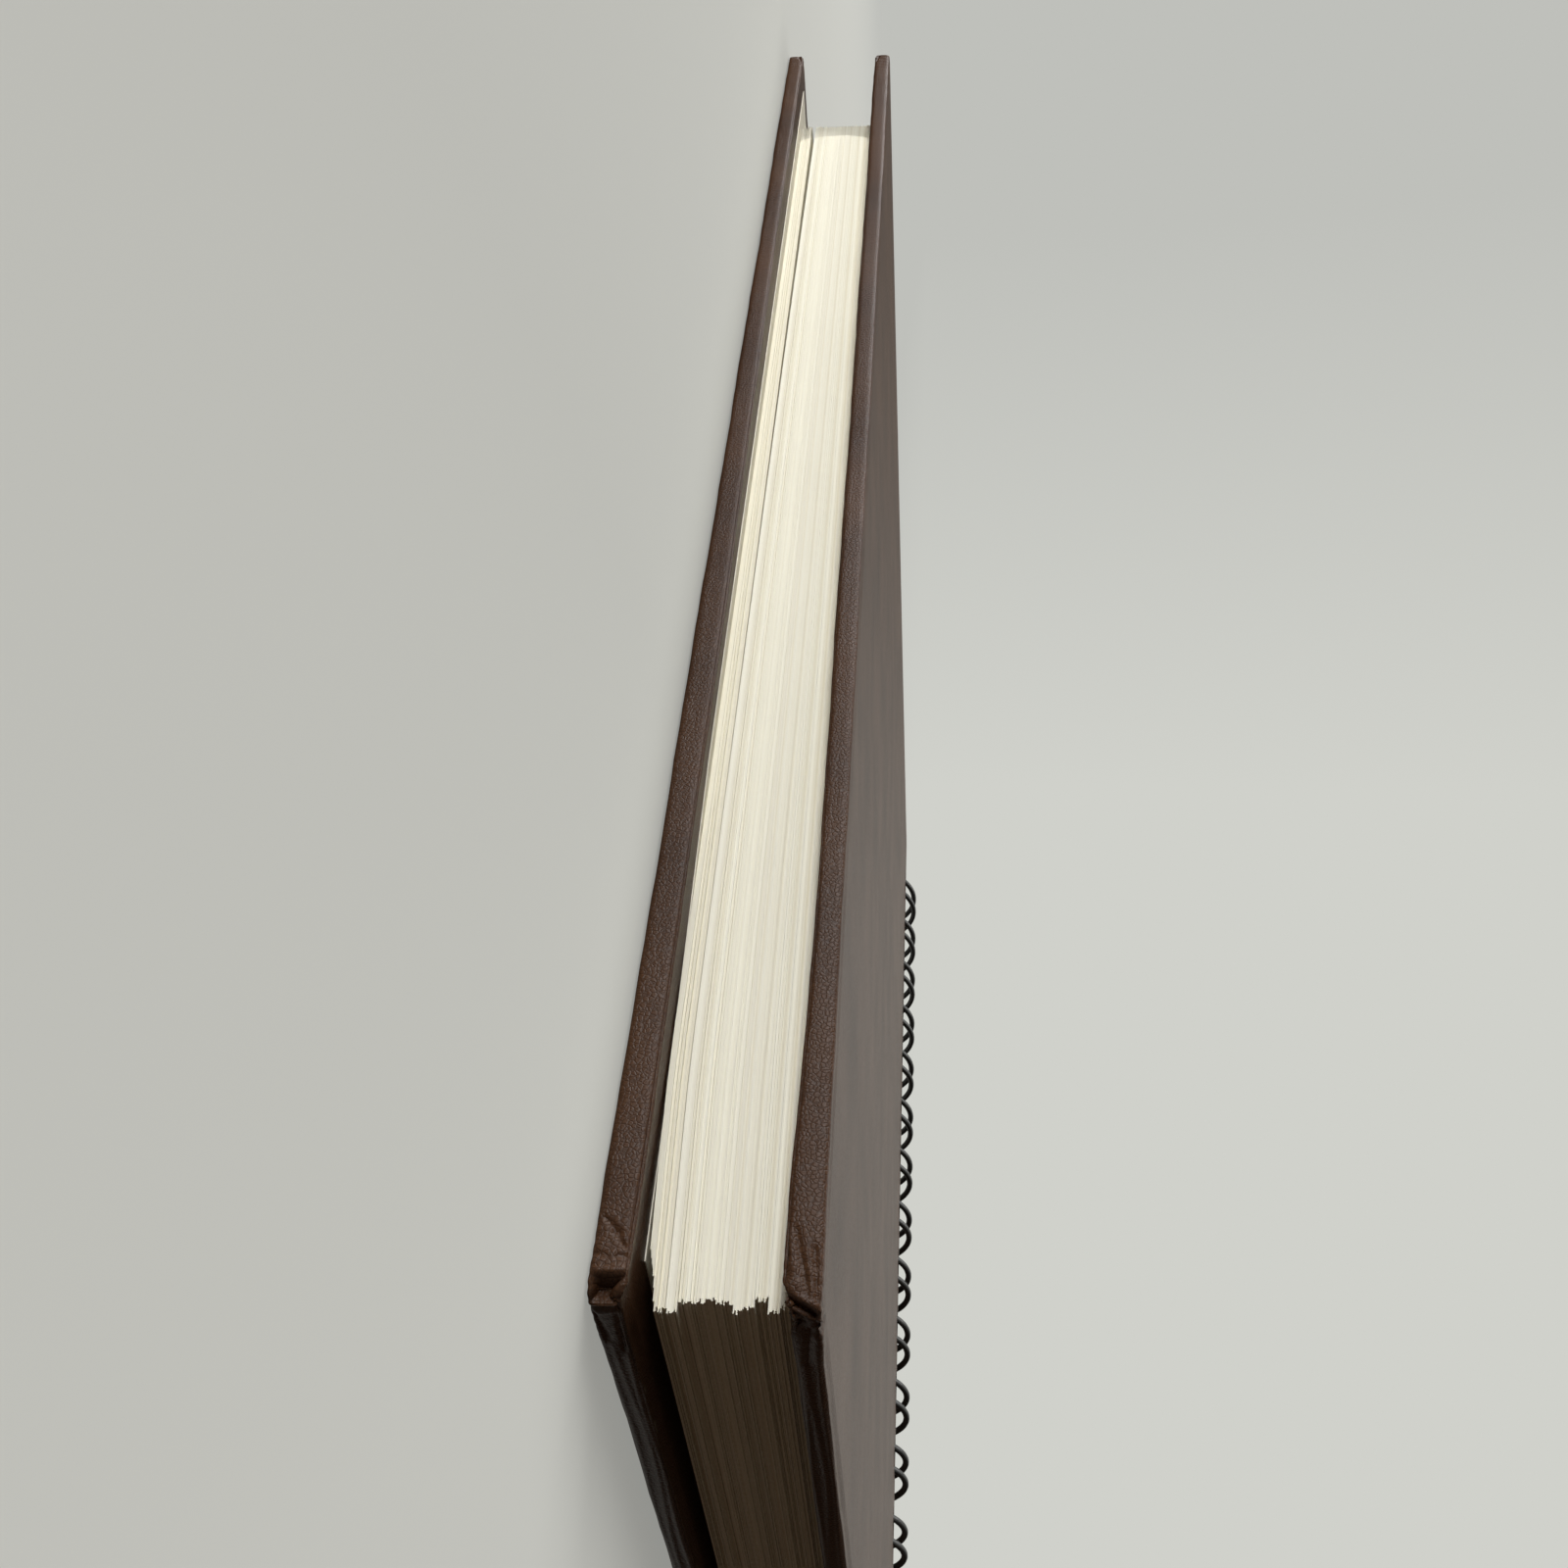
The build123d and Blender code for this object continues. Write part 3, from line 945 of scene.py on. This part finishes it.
# Soft light, in metres: a low strip past the fore-edge, a panel past the tail, one overhead, and a pale room
lights = {
    "side": {"from": (0.85, -0.42, 0.1), "size": (0.8, 0.16), "watts": 7.3},
    "tail": {"from": (0.4, -0.95, 0.45), "size": (0.7, 0.6), "watts": 6.0},
    "top": {"from": (-0.1, -0.4, 1.2), "size": (1.0, 1.0), "watts": 8.5},
    "aim": (0.05, 0.0, 0.01),
    "room": "#d0d1cb",
    "roomGrey": "#bfc0bb",
    "dull": "#94948e",
    "fill": "#b09078",
    "flag": "#37302b",
    "across": (0.707, -0.707, 0.0),  # the room's tone changes along this direction
    "roomShow": 1.0,
    "roomLight": 0.1,
}


def seenDirectly(tree):
    ray = addNode(tree, "ShaderNodeLightPath")
    seen = ray.outputs["Is Camera Ray"]
    for kind in ("Is Glossy Ray", "Is Transmission Ray"):
        more = addNode(tree, "ShaderNodeMath", {"operation": "MAXIMUM"}, {0: seen, 1: ray.outputs[kind]})
        seen = more.outputs["Value"]
    return seen


def roomTone(tree, ahead):
    # The room by direction: pale to grey, and in reflections two dark flags as well
    side = addNode(tree, "ShaderNodeVectorMath",
                   {"operation": "DOT_PRODUCT", 1: lights["across"]}, {0: ahead})
    place = addNode(tree, "ShaderNodeMapRange", {"From Min": -1.0, "From Max": 1.0},
                    {"Value": side.outputs["Value"]}).outputs["Result"]
    pale, grey, dull, flag = (lights[name] for name in ("room", "roomGrey", "dull", "flag"))
    plain = addRamp(tree, place, [(0.5, pale), (0.66, grey)])
    flagged = addRamp(tree, place, [(0.14, flag), (0.27, pale), (0.46, pale), (0.62, dull), (0.82, flag)])
    ray = addNode(tree, "ShaderNodeLightPath")
    tone = addNode(tree, "ShaderNodeMix", {"data_type": "RGBA"},
                   {0: ray.outputs["Is Glossy Ray"], 6: plain, 7: flagged})
    return tone.outputs[2]


def makeLights():
    for name in ("side", "tail", "top"):
        lamp = bpy.data.lights.new(name, "AREA")
        lamp.shape = "RECTANGLE"
        lamp.size, lamp.size_y = lights[name]["size"]
        lamp.energy = lights[name]["watts"]
        holder = bpy.data.objects.new(name, lamp)
        holder.location = lights[name]["from"]
        away = Vector(lights[name]["from"]) - Vector(lights["aim"])
        holder.rotation_euler = away.to_track_quat("Z", "Y").to_euler()
        bpy.context.scene.collection.objects.link(holder)
    world = bpy.data.worlds.new("pale room")
    bpy.context.scene.world = world
    world.use_nodes = True
    tree = world.node_tree
    tree.nodes.clear()
    place = addNode(tree, "ShaderNodeTexCoord")
    lit = addNode(tree, "ShaderNodeBackground",
                  {"Color": toLinear(lights["fill"]), "Strength": lights["roomLight"]})
    shown = addNode(tree, "ShaderNodeBackground", {"Strength": lights["roomShow"]},
                    {"Color": roomTone(tree, place.outputs["Generated"])})
    mix = addNode(tree, "ShaderNodeMixShader", None,
                  {0: seenDirectly(tree), 1: lit.outputs["Background"], 2: shown.outputs["Background"]})
    addNode(tree, "ShaderNodeOutputWorld", None, {"Surface": mix.outputs["Shader"]})


# A plain pale floor, in metres, that runs out to the horizon and turns into the room's own grey there
floor = {
    "halfSize": 40.0,
    "drop": 0.00005,
    "pale": "#dadbd4",
    "bounce": "#5c4f43",  # what the floor gives back to the object
    "fadeRun": (0.22, 0.7),
    "shadowLift": 0.45,  # how much of the room's grey is mixed in beside the object
}


def makeFloor():
    size = floor["halfSize"]
    mesh = bpy.data.meshes.new("floor")
    corners = [(-size, -size, 0), (size, -size, 0), (size, size, 0), (-size, size, 0)]
    mesh.from_pydata(corners, [], [(0, 1, 2, 3)])
    material, tree, mm = newMaterial("matt_seamless_paper")
    ray = addNode(tree, "ShaderNodeLightPath")
    length = addNode(tree, "ShaderNodeVectorMath", {"operation": "LENGTH"}, {0: mm})
    far = addNode(tree, "ShaderNodeMapRange",
                  {"interpolation_type": "SMOOTHSTEP", "From Min": floor["fadeRun"][0] * 1000,
                   "From Max": floor["fadeRun"][1] * 1000, "To Min": floor["shadowLift"]},
                  {"Value": length.outputs["Value"]})
    ahead = addNode(tree, "ShaderNodeVectorMath", {"operation": "NORMALIZE"}, {0: mm})
    tone = addRamp(tree, ray.outputs["Is Camera Ray"], [(0.0, floor["bounce"]), (1.0, floor["pale"])])
    near = addNode(tree, "ShaderNodeBsdfDiffuse", None, {"Color": tone})
    glow = addNode(tree, "ShaderNodeEmission", {"Strength": lights["roomShow"]},
                   {"Color": roomTone(tree, ahead.outputs["Vector"])})
    share = addNode(tree, "ShaderNodeMath", {"operation": "MULTIPLY"},
                    {0: far.outputs["Result"], 1: seenDirectly(tree)})
    mix = addNode(tree, "ShaderNodeMixShader", None,
                  {0: share.outputs["Value"], 1: near.outputs["BSDF"], 2: glow.outputs["Emission"]})
    addNode(tree, "ShaderNodeOutputMaterial", None, {"Surface": mix.outputs["Shader"]})
    mesh.materials.append(material)
    ground = bpy.data.objects.new("floor", mesh)
    ground.location.z = cadBox[0][2] - floor["drop"]
    bpy.context.scene.collection.objects.link(ground)


makeLights()
makeFloor()
print("lights and floor set")

# The camera stands off the fore-edge and head corner, a little above the front cover, turned on its side
camera = {
    "place": (305.5, 168.6, 16.8),
    "aim": (94.6, -42.8, -11.75),
    "turnDegrees": 0.04,
    "lensMm": 37.27,
    "sensorMm": 36.0,
    "clipM": (0.005, 100.0),
}


def makeCamera():
    lens = bpy.data.cameras.new("camera")
    lens.lens = camera["lensMm"]
    lens.sensor_width = camera["sensorMm"]
    lens.clip_start, lens.clip_end = camera["clipM"]
    ahead = (Vector(camera["aim"]) - Vector(camera["place"])).normalized()
    right = (Vector((0, 0, 1)) - ahead * ahead.z).normalized()
    right.rotate(Matrix.Rotation(math.radians(camera["turnDegrees"]), 3, ahead))
    back = -ahead
    up = back.cross(right)
    turn = Matrix((right, up, back)).transposed().to_4x4()
    holder = bpy.data.objects.new("camera", lens)
    holder.matrix_world = Matrix.Translation(rowFromBook @ Vector(camera["place"])) @ leanTurn @ turn
    bpy.context.scene.collection.objects.link(holder)
    bpy.context.scene.camera = holder


makeCamera()
bpy.context.scene.view_settings.view_transform = "Standard"
